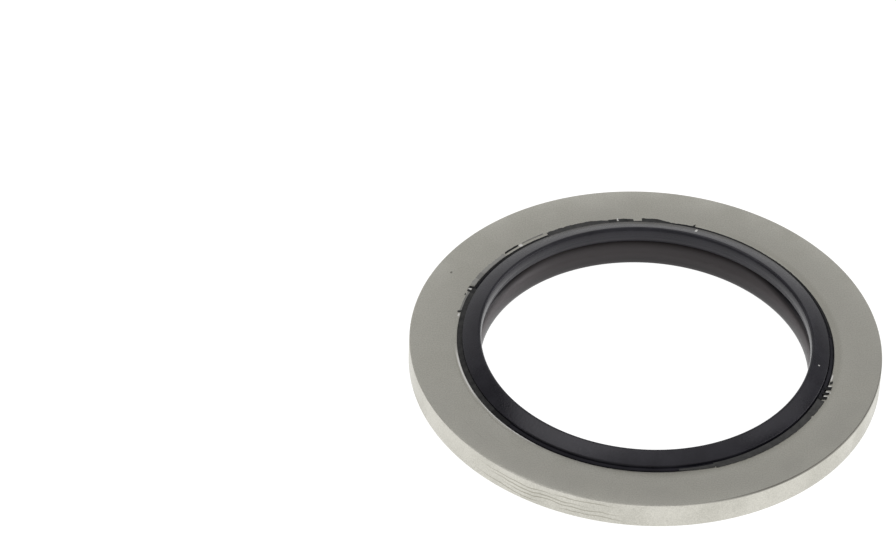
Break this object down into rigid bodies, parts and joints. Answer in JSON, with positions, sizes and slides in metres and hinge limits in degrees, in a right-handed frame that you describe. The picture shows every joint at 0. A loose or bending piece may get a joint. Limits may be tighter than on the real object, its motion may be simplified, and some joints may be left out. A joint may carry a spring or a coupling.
{
  "type": "bonded sealing ring",
  "caption": "Flat steel washer with a black rubber ring bonded into its bore, whose raised lips seal the joint round a bolt or threaded port.",
  "frame": {"origin": "centre of the bore, halfway through the thickness", "axes": "+Z along the bore's axis; the ring is the same above and below and all round"},
  "size_m": [0.024, 0.024, 0.0024],
  "materials": {
    "steel": "satin, zinc plated",
    "rubber": "smooth, semi-gloss"
  },
  "bodies": {
    "root": {"steel_washer": "steel", "rubber_seal": "rubber"}
  },
  "joints": []
}
